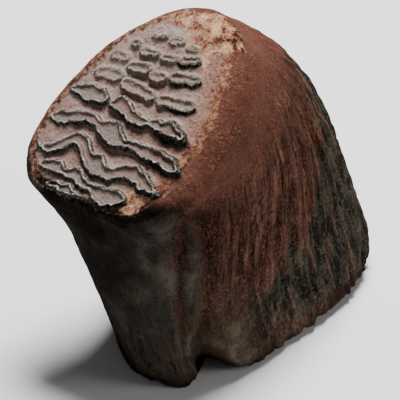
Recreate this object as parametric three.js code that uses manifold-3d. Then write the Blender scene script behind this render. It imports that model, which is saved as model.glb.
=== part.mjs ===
// Fossil mammoth molar, one tooth standing on its root and the broken base of its crown.
// Millimetres, +Z up. While it is shaped, X runs back from the front edge of the chewing surface,
// Y away from the side with the grooved root, and Z up from the base. At the end the tooth is moved
// so that its origin lies under the middle of its box.
import * as THREE from "three";
import { mergeVertices } from "three/addons/utils/BufferGeometryUtils.js";
import Module from "manifold-3d";

const DEGREE = Math.PI / 180;

// Mesh: cells along the tooth, across it, and rows up its side. A rib takes two cells.
const CELLS_ALONG = 36;
const CELLS_ACROSS = 16;
const SIDE_ROWS = 10;
const EDGE_ROWS = 3;
const END_SHARE = 0.25; // how much of the round outline the front and back cells take
const SAME_PLACE = 1e-4; // corners nearer than this are one
// Where the cells lie along the tooth, as [share of the cells from the front, place from 1 to -1].
const ALONG_PLACES = [[0, 1], [0.3, 0.36], [0.62, -0.52], [1, -1]];

// Chewing surface: a plane that climbs backwards, with a rim like a blunt egg.
const CHEW_HEIGHT = 102; // of its front edge
const CHEW_MIDDLE = -1; // Y of its own middle line
const CHEW_TILT = 38.6 * DEGREE;
const RIM_LENGTH = 105.6;
const RIM_HALF = 41.5; // half its widest
const RIM_MID_FRONT = 10; // middle line, away from the near side
const RIM_MID_BACK = 0;
const RIM_SKEW = 0.62; // puts the widest place nearer the front
const RIM_BOX_FRONT = 0.78; // blunt front
const RIM_BOX_BACK = 1;
const RIM_CENTRE = new THREE.Vector2(-6, 47);
const EDGE_RADIUS = { front: 3, near: 12, back: 12, far: 6 };
const DISH_DEPTH = 1.2; // worn hollow of the chewing surface
const DISH_FLOOR = 0.3; // share of the way to the rim that is deepest

// Profiles from the base (0) to the chewing edge (1), as [height share, value].
// The front and the back of the outline:
const FRONT_X = [[0, 19], [0.3, 14.2], [0.6, 9], [0.85, 4.2], [1, 0]];
const FRONT_Z = [[0, 0], [1, 98]];
const BACK_X = [[0, 180], [0.12, 182], [0.3, 174.5], [0.6, 156], [0.85, 128], [1, 99]];
const BACK_Z = [[0, 6], [0.12, 20], [0.3, 50], [0.6, 103], [0.85, 144], [1, 166]];
// Where the outline is widest, nearer the front below 1 and nearer the back above it:
const SKEW = [[0, 1.15], [0.5, 0.9], [1, 0.62]];
// From the middle line out to the near and the far side:
const NEAR_HALF = [[0, 55.5], [0.35, 51], [0.7, 49.5], [0.9, 48.5], [1, 51.5]];
const FAR_HALF = [[0, 42.5], [0.35, 44.5], [0.7, 45], [1, 45.5]];
// How round the outline is, from 1 for an ellipse down to 0 for a box:
const BOX_FRONT = [[0, 0.62], [0.5, 0.68], [1, 0.72]];
const BOX_BACK = [[0, 0.5], [0.5, 0.66], [1, 1]];
// Y of the middle line at the front, and how far back its bend reaches:
const MID_FRONT = [[0, -22], [0.5, -9], [0.8, -2], [1, 10]];
const MID_REACH = [[0, 0.42], [1, 1]];
const MID_POWER = 1.3;
const LEAN = 30 * DEGREE; // the plates lean forward as they rise
const EDGE_START = 0.9; // where the side turns into the rounded chewing edge
const JOIN_POWER = 4; // how late the side bends to meet that edge
const FLARE_TOP = 0.3; // height share below which the base spreads
const RELIEF_TOP = 0.93; // where the relief of the side starts to fade

// Foot of the root and the notch behind it, as [column angle, shift of the base outline].
const FOOT_X = [[5, 0], [15, 1.4], [24, 2.6], [33, 4], [42, 9.1], [48, 13.2], [56, 16.7], [61, 14], [67, 11],
  [75, 8.5], [85, 5], [97, 0]];
const FOOT_Y = [[5, 0], [15, 1.2], [24, 3], [33, 5.5], [42, 12.3], [48, 19], [56, 21.3], [61, 17], [67, 9],
  [75, 4], [85, 1.5], [97, 0]];
const FOOT_RISE = 0.5;
const FOOT_POWER = 2.2;

// Relief of the sides: two root grooves with a rib between them, a lobe, the plates' ribs, the cement cap.
// A groove's course is [height share, column angle].
const GROOVE_FRONT = [[0.1, 35], [0.22, 39], [0.45, 41.5], [0.73, 45.5], [0.9, 53]];
const GROOVE_REAR = [[0.1, 49.5], [0.2, 51.5], [0.3, 57], [0.42, 60.8], [0.8, 61]];
const GROOVE_DEPTH = 3;
const GROOVE_WIDTH = 4.5;
const GROOVE_FOOT = 0.4; // share of a groove's depth left at the base
const GROOVE_TOP = [0.7, 0.95]; // height shares over which a groove fades
const LOBE_ANGLE = 71;
const LOBE_WIDTH = 9;
const LOBE_HEIGHT = 0.13;
const LOBE_BULGE = 2.5;
const RIB_HEIGHT = 0.8;
const BACK_RIB_EXTRA = 0.2;
const BACK_ANGLES = [110, 140, 220, 250]; // the back's ribs stand higher
const ROOT_ANGLES = [60, 72, 300, 320]; // the root has no ribs
const CAP_EDGE = [[-5, 110], [60, 111], [80, 122], [100, 140], [125, 158]]; // [x, z]
const CAP_SOFTNESS = 4;
const CAP_THICKNESS = 1.2;
const CAP_SINK = 0.7; // the ribbed wall below it lies back by this much

// Underside: a hollow crossed by the plates' lower ends, inside a flat ring that the tooth rests on.
const UNDER_CENTRE = new THREE.Vector3(98, -1, 0);
const HOLLOW_RISE = 4.5;
const HOLLOW_RIDGE = 1.6;
const HOLLOW_REACH = [0.45, 0.62];
const REST_REACH = 0.86;

// Enamel plates worn open on the chewing surface. A plate's walls are [q, l] keys: q runs across
// towards the near side, l back from the front edge.
const CREST = 2.3;
const BASIN = 1.1;
const PLATE_ROOT = 4;
const ENAMEL = 1.4;
const PLATE_STEP = 4.5;
const PLATE_THINNEST = 0.2; // share of a plate's width that an inset leaves
const PLATE_BLUNT = 0.15; // how blunt a plate's ends are
const LONG_PLATES = [
  {
    front: [[-31, 2.2], [-28, 1.4], [-20, 0.8], [-12, 1.6], [-4.5, 2.4]],
    back: [[-31, 2.8], [-28, 4.2], [-24, 6], [-18, 5.9], [-12, 4], [-4.5, 4.2]],
  },
  {
    front: [[-40, 8.5], [-30, 8.6], [-24, 9.2], [-18, 8.1], [-11, 6.4], [-5, 5.4], [-1, 2.8], [7, 3.2],
      [14, 7.5]],
    back: [[-40, 11.5], [-35, 15.6], [-30, 15.8], [-25, 13.5], [-20, 17], [-16, 15.5], [-13, 12.4],
      [-5, 12.2], [2, 12.3], [7, 13.3], [14, 11.5]],
  },
  {
    front: [[-47, 19], [-40, 17], [-33, 20], [-28, 26], [-21, 22], [-13, 16], [-3, 14.8], [7, 19],
      [18, 18], [28, 17.5]],
    back: [[-47, 20], [-38, 23.5], [-31, 31.5], [-22, 31], [-15, 25], [-10, 26], [-5, 21.5], [5, 27],
      [17, 26.3], [28, 20]],
  },
  {
    front: [[-48, 32.5], [-40, 33.5], [-24, 38.8], [-18, 35], [-8, 33], [5, 33.4], [20, 32], [32, 31.5]],
    back: [[-48, 37], [-38, 41.5], [-29, 43.5], [-20, 42.5], [-11, 45.5], [-7, 40.5], [2, 38.6],
      [12, 38.9], [21, 39.2], [28, 37.6], [32, 34]],
  },
  {
    front: [[-46, 50], [-35, 48.8], [-24, 50]],
    back: [[-46, 53], [-35, 57], [-24, 56]],
  },
  {
    front: [[-22, 50.5], [-14, 49.5], [-5, 46.8], [5, 47.8], [26, 47.5]],
    back: [[-22, 53], [-16, 58], [-8, 54.5], [0, 51.5], [10, 54], [20, 54], [26, 51]],
  },
];
// Short plates, only just worn open, as [far end, near end, front, back, rise towards the near end].
const SHORT_CREST = 1.5;
const SHORT_BASIN = 0.8;
const SHORT_PLATES = [
  [-39, -23, 61.5, 67.5, 2], [-22.5, -1, 61, 67, -1], [0.5, 21.5, 59.8, 66, 3],
  [-35.5, -25.5, 72.5, 78, 1], [-24, -11, 70, 76, 2], [-10.3, -0.7, 69.8, 75.5, 1.5],
  [1, 17, 73, 78.6, 3.5],
  [-28.5, -23.8, 82.3, 86.8, 0.5], [-21.8, -11.5, 80, 85, 1.5], [-9.5, 0.2, 80.8, 85.5, 2],
  [1.2, 11.2, 83.5, 87.8, 3],
  [-20, -12, 90.5, 93.3, 2], [-10.2, -1.8, 90.5, 95.2, 2], [1.5, 6.5, 91.5, 94, 1],
];

const BROWN = 0x5e4036;
const DULL = 0.62; // roughness of the polished cement

const { lerp, clamp, smoothstep } = THREE.MathUtils;

// Smooth curve through [position, value] keys, with slopes from the neighbouring keys.
function smooth(keys, at) {
  const last = keys.length - 1;
  const t = clamp(at, keys[0][0], keys[last][0]);
  let i = 0;
  while (i < last - 1 && t >= keys[i + 1][0]) i += 1;
  const gap = (k) => keys[k + 1][0] - keys[k][0];
  const rise = (k) => (keys[k + 1][1] - keys[k][1]) / gap(k);
  const slope = (k) => {
    if (k === 0) return rise(0);
    if (k === last) return rise(last - 1);
    return (rise(k - 1) * gap(k) + rise(k) * gap(k - 1)) / (gap(k) + gap(k - 1));
  };
  const u = (t - keys[i][0]) / gap(i);
  const ease = u * u * (3 - 2 * u);
  const start = u * (1 - u) * (1 - u);
  const end = u * u * (u - 1);
  return lerp(keys[i][1], keys[i + 1][1], ease) + gap(i) * (start * slope(i) + end * slope(i + 1));
}

const SMOOTH_COLUMN = 0.5;

const bump = (distance, width) => Math.exp(-((distance / width) ** 2));
const signedPower = (value, power) => Math.sign(value) * Math.abs(value) ** power;

// The chewing plane's own axes: across to the near side, back along the climb, and out of it.
const ACROSS = new THREE.Vector3(0, -1, 0);
const ALONG = new THREE.Vector3(Math.cos(CHEW_TILT), 0, Math.sin(CHEW_TILT));
const OUT = new THREE.Vector3(-Math.sin(CHEW_TILT), 0, Math.cos(CHEW_TILT));
const chewingPlane = new THREE.Matrix4().makeBasis(ACROSS, ALONG, OUT)
  .setPosition(0, CHEW_MIDDLE, CHEW_HEIGHT);

// Share of the way back that a turn of the outline has come, with a skew.
const backShare = (turn, skew) => ((1 - Math.cos(turn)) / 2) ** (1 / skew);

// Rim of the chewing surface, in its plane. The turn is 0 at the front and 90 degrees at the near side.
function rim(turn) {
  const f = backShare(turn, RIM_SKEW);
  const half = RIM_HALF * signedPower(Math.sin(turn), lerp(RIM_BOX_FRONT, RIM_BOX_BACK, f));
  const middle = lerp(RIM_MID_FRONT, RIM_MID_BACK, f);
  return new THREE.Vector2(CHEW_MIDDLE - middle + half, f * RIM_LENGTH);
}

// Rounded edge between the side (roll 0) and the chewing surface (roll 90 degrees).
function chewingEdge(turn, roll) {
  const share = (value) => Math.max(value, 0) ** 2;
  const radius = EDGE_RADIUS.front * share(Math.cos(turn)) + EDGE_RADIUS.near * share(Math.sin(turn))
    + EDGE_RADIUS.back * share(-Math.cos(turn)) + EDGE_RADIUS.far * share(-Math.sin(turn));
  const point = rim(turn);
  const outward = point.clone().sub(RIM_CENTRE).normalize().multiplyScalar(radius * Math.cos(roll));
  point.add(outward);
  return new THREE.Vector3(point.x, point.y, radius * (Math.sin(roll) - 1)).applyMatrix4(chewingPlane);
}

// Level outline of the plain tooth at a share of its height.
function ring(turn, t) {
  const f = backShare(turn, smooth(SKEW, t));
  const side = Math.sin(turn);
  const half = side > 0 ? smooth(NEAR_HALF, t) : smooth(FAR_HALF, t);
  const box = lerp(smooth(BOX_FRONT, t), smooth(BOX_BACK, t), f);
  const reach = clamp(1 - f / smooth(MID_REACH, t), 0, 1) ** MID_POWER;
  return new THREE.Vector3(
    lerp(smooth(FRONT_X, t), smooth(BACK_X, t), f),
    smooth(MID_FRONT, t) * reach - half * signedPower(side, box),
    lerp(smooth(FRONT_Z, t), smooth(BACK_Z, t), f),
  );
}

// Plain side of the tooth. The column angle follows a plate up the side, c is its share of the height.
function plainSide(angle, c) {
  const t = clamp(c / EDGE_START, 0, 1);
  const turn = angle + LEAN * Math.sin(angle) * (2 * t * t - 1);
  const roll = clamp((c - EDGE_START) / (1 - EDGE_START), 0, 1) * Math.PI / 2;
  if (roll > 0) return chewingEdge(turn, roll);
  const point = ring(turn, t);
  const join = chewingEdge(turn, 0).sub(ring(turn, 1));
  point.addScaledVector(join, t ** JOIN_POWER);
  const foot = clamp(1 - c / FOOT_RISE, 0, 1) ** FOOT_POWER;
  point.x += smooth(FOOT_X, angle / DEGREE) * foot;
  point.y += smooth(FOOT_Y, angle / DEGREE) * foot;
  return point;
}

// How far the side stands out from the plain tooth. A rib's crest is at an even column, its trough at an
// odd one, and halfway between them is no rib.
function sideRelief(angle, c, column, point) {
  const degrees = angle / DEGREE;
  const below = smoothstep(smooth(CAP_EDGE, point.x) - point.z, -CAP_SOFTNESS / 2, CAP_SOFTNESS);
  const [rootBack, crownFront, farCrown, farRoot] = ROOT_ANGLES;
  const [nearSide, nearBack, farBack, farSide] = BACK_ANGLES;
  const root = 1 - smoothstep(degrees, rootBack, crownFront) + smoothstep(degrees, farCrown, farRoot);
  const back = smoothstep(degrees, nearSide, nearBack) * (1 - smoothstep(degrees, farBack, farSide));
  const flare = 1 - smoothstep(c, 0, FLARE_TOP);
  const height = RIB_HEIGHT + BACK_RIB_EXTRA * back;
  const ribs = height * Math.cos(Math.PI * column);
  const grooves = GROOVE_DEPTH * (1 - smoothstep(c, ...GROOVE_TOP)) * lerp(1, GROOVE_FOOT, flare)
    * (bump(degrees - smooth(GROOVE_FRONT, c), GROOVE_WIDTH)
      + bump(degrees - smooth(GROOVE_REAR, c), GROOVE_WIDTH));
  const lobe = LOBE_BULGE * bump(degrees - LOBE_ANGLE, LOBE_WIDTH) * bump(c - LOBE_HEIGHT, LOBE_HEIGHT);
  return ribs * below * (1 - root) + CAP_THICKNESS * (1 - below) - CAP_SINK * (1 - flare) - grooves + lobe;
}

// Side of the tooth with its relief, pushed out along the plain side.
function side(angle, c, column) {
  const point = plainSide(angle, c);
  const nudge = 0.001; // for the slopes
  const along = plainSide(angle + nudge, c).sub(plainSide(angle - nudge, c));
  const up = plainSide(angle, Math.min(c + nudge, 1)).sub(plainSide(angle, Math.max(c - nudge, 0)));
  const normal = along.cross(up);
  if (c === 0) normal.z = 0;
  normal.normalize();
  const fade = 1 - smoothstep(c, RELIEF_TOP, 1);
  return point.addScaledVector(normal, sideRelief(angle, c, column, point) * fade);
}

// Column angle and distance from the middle for a place on the square grid of the top or the underside.
function discPlace(gridA, b) {
  const a = smooth(ALONG_PLACES, (1 - gridA) / 2);
  const x = a * Math.sqrt(1 - END_SHARE * b * b);
  const y = b * Math.sqrt(1 - (1 - END_SHARE) * a * a);
  const angle = Math.atan2(y, x);
  return { angle: angle < 0 ? angle + 2 * Math.PI : angle, reach: Math.min(Math.hypot(x, y), 1) };
}

// Columns counted round the outline from the middle of the front, past the near side.
function columnAt(a, b) {
  const halfFront = CELLS_ACROSS / 2;
  if (b === 1) return halfFront + (1 - a) / 2 * CELLS_ALONG;
  if (a === -1) return halfFront + CELLS_ALONG + (1 - b) / 2 * CELLS_ACROSS;
  if (b === -1) return 3 * halfFront + CELLS_ALONG + (1 + a) / 2 * CELLS_ALONG;
  return b * halfFront;
}

// Chewing surface: from the rim in to the middle, slightly dished.
function chewingSurface(angle, reach) {
  const turn = angle + LEAN * Math.sin(angle);
  const point = rim(turn).sub(RIM_CENTRE).multiplyScalar(reach).add(RIM_CENTRE);
  const dish = -DISH_DEPTH * (1 - smoothstep(reach, DISH_FLOOR, 1));
  return new THREE.Vector3(point.x, point.y, dish).applyMatrix4(chewingPlane);
}

// Underside: the flat ring that it rests on, and the ridged hollow inside it.
function underside(angle, reach, a) {
  const outline = side(angle, 0, SMOOTH_COLUMN);
  const shift = reach * (reach - 1);
  const point = UNDER_CENTRE.clone().lerp(outline, reach);
  point.x += smooth(FOOT_X, angle / DEGREE) * shift;
  point.y += smooth(FOOT_Y, angle / DEGREE) * shift;
  const hollow = 1 - smoothstep(reach, ...HOLLOW_REACH);
  const ridges = HOLLOW_RIDGE * Math.cos(Math.PI * (1 - a) / 2 * CELLS_ALONG);
  point.z = hollow * (HOLLOW_RISE - ridges) + outline.z * smoothstep(reach, REST_REACH, 1);
  return point;
}

function manifoldOf(library, geometry) {
  geometry.deleteAttribute("normal");
  geometry.deleteAttribute("uv");
  const merged = mergeVertices(geometry, SAME_PLACE);
  return new library.Manifold(new library.Mesh({
    numProp: 3,
    vertProperties: new Float32Array(merged.attributes.position.array),
    triVerts: new Uint32Array(merged.index.array),
  }));
}

function geometryOf(solid) {
  const mesh = solid.getMesh();
  const geometry = new THREE.BufferGeometry();
  geometry.setAttribute("position", new THREE.BufferAttribute(new Float32Array(mesh.vertProperties), 3));
  geometry.setIndex(new THREE.BufferAttribute(new Uint32Array(mesh.triVerts), 1));
  geometry.computeVertexNormals();
  return geometry;
}

// The whole tooth's skin, a box whose grid is moved onto it.
function toothGeometry() {
  const rows = SIDE_ROWS + EDGE_ROWS;
  const geometry = new THREE.BoxGeometry(2, 2, 2, CELLS_ALONG, CELLS_ACROSS, rows);
  const places = geometry.attributes.position;
  const corner = new THREE.Vector3();
  for (let i = 0; i < places.count; i += 1) {
    corner.fromBufferAttribute(places, i);
    const a = clamp(corner.x, -1, 1);
    const b = clamp(corner.y, -1, 1);
    const { angle, reach } = discPlace(a, b);
    const onSide = Math.abs(a) === 1 || Math.abs(b) === 1;
    const row = Math.round((corner.z + 1) / 2 * rows);
    const c = row <= SIDE_ROWS ? EDGE_START * row / SIDE_ROWS
      : EDGE_START + (1 - EDGE_START) * (row - SIDE_ROWS) / EDGE_ROWS;
    let point;
    if (onSide) point = side(angle, c, columnAt(a, b));
    else if (row > 0) point = chewingSurface(angle, reach);
    else point = underside(angle, reach, a);
    places.setXYZ(i, point.x, point.y, point.z);
  }
  return geometry;
}

// Outline of an enamel plate in the chewing plane, drawn in by an inset. Its ends are rounded.
function plateOutline(plate, inset) {
  const from = plate.front[0][0] + inset;
  const to = plate.front.at(-1)[0] - inset;
  const steps = Math.max(4, Math.round((to - from) / PLATE_STEP));
  const walls = { front: [], back: [] };
  for (let i = 0; i <= steps; i += 1) {
    const q = lerp(from, to, (1 - Math.cos(Math.PI * i / steps)) / 4 + i / steps / 2);
    const front = smooth(plate.front, q);
    const back = smooth(plate.back, q);
    const half = Math.max((back - front) / 2 - inset, (back - front) * PLATE_THINNEST);
    const end = Math.min(q - from, to - q);
    const round = Math.sqrt(clamp(PLATE_BLUNT + end / half, 0, 1));
    walls.front.push(new THREE.Vector2(q, (front + back) / 2 - half * round));
    walls.back.push(new THREE.Vector2(q, (front + back) / 2 + half * round));
  }
  return new THREE.Shape([...walls.front, ...walls.back.reverse()]);
}

function plateSolid(library, plate, inset, bottom, top) {
  const geometry = new THREE.ExtrudeGeometry(plateOutline(plate, inset), {
    depth: top - bottom, bevelEnabled: false,
  });
  geometry.translate(0, 0, bottom);
  geometry.applyMatrix4(chewingPlane);
  return manifoldOf(library, geometry);
}

function shortPlate([from, to, front, back, rise]) {
  return { front: [[from, front], [to, front + rise]], back: [[from, back], [to, back + rise]] };
}

const library = await Module();
library.setup();

function raisePlate(solid, plate, crest, basin) {
  const raised = solid.add(plateSolid(library, plate, 0, -PLATE_ROOT, crest));
  return raised.subtract(plateSolid(library, plate, ENAMEL, basin, crest + 1));
}

let solid = manifoldOf(library, toothGeometry());
for (const plate of LONG_PLATES) {
  solid = raisePlate(solid, plate, CREST, BASIN);
}
for (const plate of SHORT_PLATES.map(shortPlate)) {
  solid = raisePlate(solid, plate, SHORT_CREST, SHORT_BASIN);
}

const molar = new THREE.Mesh(
  geometryOf(solid),
  new THREE.MeshStandardMaterial({ color: BROWN, roughness: DULL, metalness: 0 }),
);
molar.name = "molar";
molar.geometry.computeBoundingBox();
const middle = molar.geometry.boundingBox.getCenter(new THREE.Vector3());
molar.position.set(-middle.x, -middle.y, -molar.geometry.boundingBox.min.z);

const group = new THREE.Group();
group.add(molar);

export default group;
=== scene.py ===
"""Fossil mammoth molar: the fine surface, materials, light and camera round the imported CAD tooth.

The tooth is shaped in millimetres in the same local axes as its CAD source: X back from the front edge of
the chewing surface, Y away from the side with the grooved root, Z up. It is then moved onto the CAD node.
"""

import math
from types import SimpleNamespace

import bpy
import numpy as np
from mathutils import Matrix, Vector


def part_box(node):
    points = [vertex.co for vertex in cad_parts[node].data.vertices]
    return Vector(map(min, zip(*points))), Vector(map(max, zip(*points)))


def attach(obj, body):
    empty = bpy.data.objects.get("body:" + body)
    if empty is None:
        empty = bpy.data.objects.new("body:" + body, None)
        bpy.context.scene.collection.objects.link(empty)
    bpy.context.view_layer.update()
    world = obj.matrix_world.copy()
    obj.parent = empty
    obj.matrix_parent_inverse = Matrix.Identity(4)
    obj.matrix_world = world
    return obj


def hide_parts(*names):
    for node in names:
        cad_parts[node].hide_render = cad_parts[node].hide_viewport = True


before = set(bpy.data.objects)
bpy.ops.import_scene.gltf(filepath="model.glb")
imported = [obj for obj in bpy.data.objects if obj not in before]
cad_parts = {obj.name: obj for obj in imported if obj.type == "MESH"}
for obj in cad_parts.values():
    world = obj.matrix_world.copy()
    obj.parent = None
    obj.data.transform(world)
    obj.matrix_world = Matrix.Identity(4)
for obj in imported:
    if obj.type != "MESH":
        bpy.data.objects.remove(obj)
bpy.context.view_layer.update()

MM = 0.001
NODE = "molar"
BOX_CENTRE = np.array([91.028, -0.86633, 0.0])  # middle of the CAD box in the tooth's own millimetres

# --- The plain tooth, from the same dimensions as the CAD source ---

CELLS_ALONG = 36
CELLS_ACROSS = 16
END_SHARE = 0.25  # how much of the round outline the front and back cells take
SMOOTH_COLUMN = 0.5  # between a rib and a valley
ALONG_PLACES = [(0, 1), (0.3, 0.36), (0.62, -0.52), (1, -1)]

CHEW_HEIGHT = 102.0  # of its front edge
CHEW_MIDDLE = -1.0  # Y of its own middle line
CHEW_TILT = math.radians(38.6)
RIM_LENGTH = 105.6
RIM_HALF = 41.5
RIM_MID_FRONT, RIM_MID_BACK = 10.0, 0.0
RIM_SKEW = 0.62  # puts the widest place nearer the front
RIM_BOX_FRONT, RIM_BOX_BACK = 0.78, 1.0
RIM_CENTRE = np.array([-6.0, 47.0])
EDGE_RADIUS = (3.0, 12.0, 12.0, 6.0)  # at the front, the near side, the back and the far side
DISH_DEPTH = 1.2  # worn hollow of the chewing surface
DISH_FLOOR = 0.3  # share of the way to the rim that is deepest

# Profiles from the base (0) to the chewing edge (1), as (height share, value).
FRONT_X = [(0, 19), (0.3, 14.2), (0.6, 9), (0.85, 4.2), (1, 0)]
FRONT_Z = [(0, 0), (1, 98)]
BACK_X = [(0, 180), (0.12, 182), (0.3, 174.5), (0.6, 156), (0.85, 128), (1, 99)]
BACK_Z = [(0, 6), (0.12, 20), (0.3, 50), (0.6, 103), (0.85, 144), (1, 166)]
SKEW = [(0, 1.15), (0.5, 0.9), (1, 0.62)]
NEAR_HALF = [(0, 55.5), (0.35, 51), (0.7, 49.5), (0.9, 48.5), (1, 51.5)]
FAR_HALF = [(0, 42.5), (0.35, 44.5), (0.7, 45), (1, 45.5)]
BOX_FRONT = [(0, 0.62), (0.5, 0.68), (1, 0.72)]
BOX_BACK = [(0, 0.5), (0.5, 0.66), (1, 1)]
MID_FRONT = [(0, -22), (0.5, -9), (0.8, -2), (1, 10)]
MID_REACH = [(0, 0.42), (1, 1)]
MID_POWER = 1.3
LEAN = math.radians(30)  # the plates lean forward as they rise
EDGE_START = 0.9  # where the side turns into the rounded chewing edge
JOIN_POWER = 4  # how late the side bends to meet that edge
FLARE_TOP = 0.3  # height share below which the base spreads
RELIEF_TOP = 0.93  # where the relief of the side starts to fade

# Foot of the root and the notch behind it, as (column angle, shift of the base outline).
FOOT_X = [(5, 0), (15, 1.4), (24, 2.6), (33, 4), (42, 9.1), (48, 13.2), (56, 16.7), (61, 14), (67, 11),
          (75, 8.5), (85, 5), (97, 0)]
FOOT_Y = [(5, 0), (15, 1.2), (24, 3), (33, 5.5), (42, 12.3), (48, 19), (56, 21.3), (61, 17), (67, 9),
          (75, 4), (85, 1.5), (97, 0)]
FOOT_RISE = 0.5
FOOT_POWER = 2.2

# Root grooves, as (height share, column angle), and the rest of the relief of the sides.
GROOVE_FRONT = [(0.1, 35), (0.22, 39), (0.45, 41.5), (0.73, 45.5), (0.9, 53)]
GROOVE_REAR = [(0.1, 49.5), (0.2, 51.5), (0.3, 57), (0.42, 60.8), (0.8, 61)]
GROOVE_DEPTH, GROOVE_WIDTH, GROOVE_FOOT = 3.0, 4.5, 0.4
GROOVE_TOP = (0.95, 0.7)  # height shares over which a groove grows, downwards
LOBE_ANGLE, LOBE_WIDTH, LOBE_HEIGHT, LOBE_BULGE = 71.0, 9.0, 0.13, 2.5
RIB_HEIGHT, BACK_RIB_EXTRA = 0.8, 0.2
BACK_START, BACK_END = (110, 140), (250, 220)  # the ribs between these angles stand higher
ROOT_BACK, CROWN_FRONT, FAR_CROWN, FAR_ROOT = 60, 72, 300, 320
CAP_EDGE = [(-5, 110), (60, 111), (80, 122), (100, 140), (125, 158)]
CAP_SOFTNESS, CAP_THICKNESS, CAP_SINK = 4.0, 1.2, 0.7

UNDER_CENTRE = np.array([98.0, -1.0, 0.0])
HOLLOW_RISE, HOLLOW_RIDGE = 4.5, 1.6
HOLLOW_REACH = (0.45, 0.62)
REST_REACH = 0.86

# Enamel plates worn open: each wall as (q, l) keys, q across towards the near side, l back.
CREST, BASIN = 2.3, 1.1
LONG_PLATES = [
    ([(-31, 2.2), (-28, 1.4), (-20, 0.8), (-12, 1.6), (-4.5, 2.4)],
     [(-31, 2.8), (-28, 4.2), (-24, 6), (-18, 5.9), (-12, 4), (-4.5, 4.2)]),
    ([(-40, 8.5), (-30, 8.6), (-24, 9.2), (-18, 8.1), (-11, 6.4), (-5, 5.4), (-1, 2.8), (7, 3.2),
      (14, 7.5)],
     [(-40, 11.5), (-35, 15.6), (-30, 15.8), (-25, 13.5), (-20, 17), (-16, 15.5), (-13, 12.4),
      (-5, 12.2), (2, 12.3), (7, 13.3), (14, 11.5)]),
    ([(-47, 19), (-40, 17), (-33, 20), (-28, 26), (-21, 22), (-13, 16), (-3, 14.8), (7, 19), (18, 18),
      (28, 17.5)],
     [(-47, 20), (-38, 23.5), (-31, 31.5), (-22, 31), (-15, 25), (-10, 26), (-5, 21.5), (5, 27),
      (17, 26.3), (28, 20)]),
    ([(-48, 32.5), (-40, 33.5), (-24, 38.8), (-18, 35), (-8, 33), (5, 33.4), (20, 32), (32, 31.5)],
     [(-48, 37), (-38, 41.5), (-29, 43.5), (-20, 42.5), (-11, 45.5), (-7, 40.5), (2, 38.6), (12, 38.9),
      (21, 39.2), (28, 37.6), (32, 34)]),
    ([(-46, 50), (-35, 48.8), (-24, 50)],
     [(-46, 53), (-35, 57), (-24, 56)]),
    ([(-22, 50.5), (-14, 49.5), (-5, 46.8), (5, 47.8), (26, 47.5)],
     [(-22, 53), (-16, 58), (-8, 54.5), (0, 51.5), (10, 54), (20, 54), (26, 51)]),
]
# Short plates, only just worn open: far end, near end, front, back, rise towards the near end.
SHORT_CREST, SHORT_BASIN = 1.5, 0.8
SHORT_PLATES = [
    (-39, -23, 61.5, 67.5, 2), (-22.5, -1, 61, 67, -1), (0.5, 21.5, 59.8, 66, 3),
    (-35.5, -25.5, 72.5, 78, 1), (-24, -11, 70, 76, 2), (-10.3, -0.7, 69.8, 75.5, 1.5),
    (1, 17, 73, 78.6, 3.5),
    (-28.5, -23.8, 82.3, 86.8, 0.5), (-21.8, -11.5, 80, 85, 1.5), (-9.5, 0.2, 80.8, 85.5, 2),
    (1.2, 11.2, 83.5, 87.8, 3),
    (-20, -12, 90.5, 93.3, 2), (-10.2, -1.8, 90.5, 95.2, 2), (1.5, 6.5, 91.5, 94, 1),
]

ALONG = np.array([math.cos(CHEW_TILT), 0, math.sin(CHEW_TILT)])
OUT = np.array([-math.sin(CHEW_TILT), 0, math.cos(CHEW_TILT)])


def smooth(keys, at):
    """Smooth curve through (position, value) keys, with slopes from the neighbouring keys."""
    ts, vs = np.array(keys, float).T
    slopes = np.gradient(vs, ts)
    t = np.clip(at, ts[0], ts[-1])
    i = np.clip(np.searchsorted(ts, t, side="right") - 1, 0, len(ts) - 2)
    gap = ts[i + 1] - ts[i]
    u = (t - ts[i]) / gap
    ease = u * u * (3 - 2 * u)
    bend = u * (1 - u) ** 2 * slopes[i] + u * u * (u - 1) * slopes[i + 1]
    return vs[i] + (vs[i + 1] - vs[i]) * ease + gap * bend


def lerp(a, b, f):
    return a + (b - a) * f


def step(start, end, value):
    """Smooth step from 0 at start to 1 at end; start may be above end."""
    u = np.clip((value - start) / (end - start), 0, 1)
    return u * u * (3 - 2 * u)


def bump(distance, width):
    return np.exp(-(distance / width) ** 2)


def signed_power(value, power):
    return np.sign(value) * np.abs(value) ** power


def chewing_point(q, l, height):
    """Place on or over the chewing plane."""
    front = np.array([0, CHEW_MIDDLE, CHEW_HEIGHT])
    point = front + np.multiply.outer(l, ALONG) + np.multiply.outer(height, OUT)
    point[..., 1] -= q
    return point


def back_share(turn, skew):
    """Share of the way from the front to the back."""
    return ((1 - np.cos(turn)) / 2) ** (1 / skew)


def rim(turn):
    """(q, l) of the edge of the flat chewing surface."""
    f = back_share(turn, RIM_SKEW)
    half = RIM_HALF * signed_power(np.sin(turn), lerp(RIM_BOX_FRONT, RIM_BOX_BACK, f))
    return np.stack([half - lerp(RIM_MID_FRONT, RIM_MID_BACK, f) + CHEW_MIDDLE, f * RIM_LENGTH], -1)


def facing(turn):
    """How much a place faces the front, the near side, the back and the far side."""
    c, s = np.cos(turn), np.sin(turn)
    return [np.maximum(v, 0) for v in (c, s, -c, -s)]


def edge_radius(turn):
    return sum(share ** 2 * radius for share, radius in zip(facing(turn), EDGE_RADIUS))


def edge_place(turn, roll):
    """(q, l, height) on the rounded edge between the side (roll 0) and the chewing surface."""
    radius = edge_radius(turn)
    flat = rim(turn)
    outward = flat - RIM_CENTRE
    outward /= np.linalg.norm(outward, axis=-1)[..., None]
    flat = flat + outward * (radius * np.cos(roll))[..., None]
    return flat[..., 0], flat[..., 1], radius * (np.sin(roll) - 1)


def chewing_edge(turn, roll):
    return chewing_point(*edge_place(turn, roll))


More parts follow.
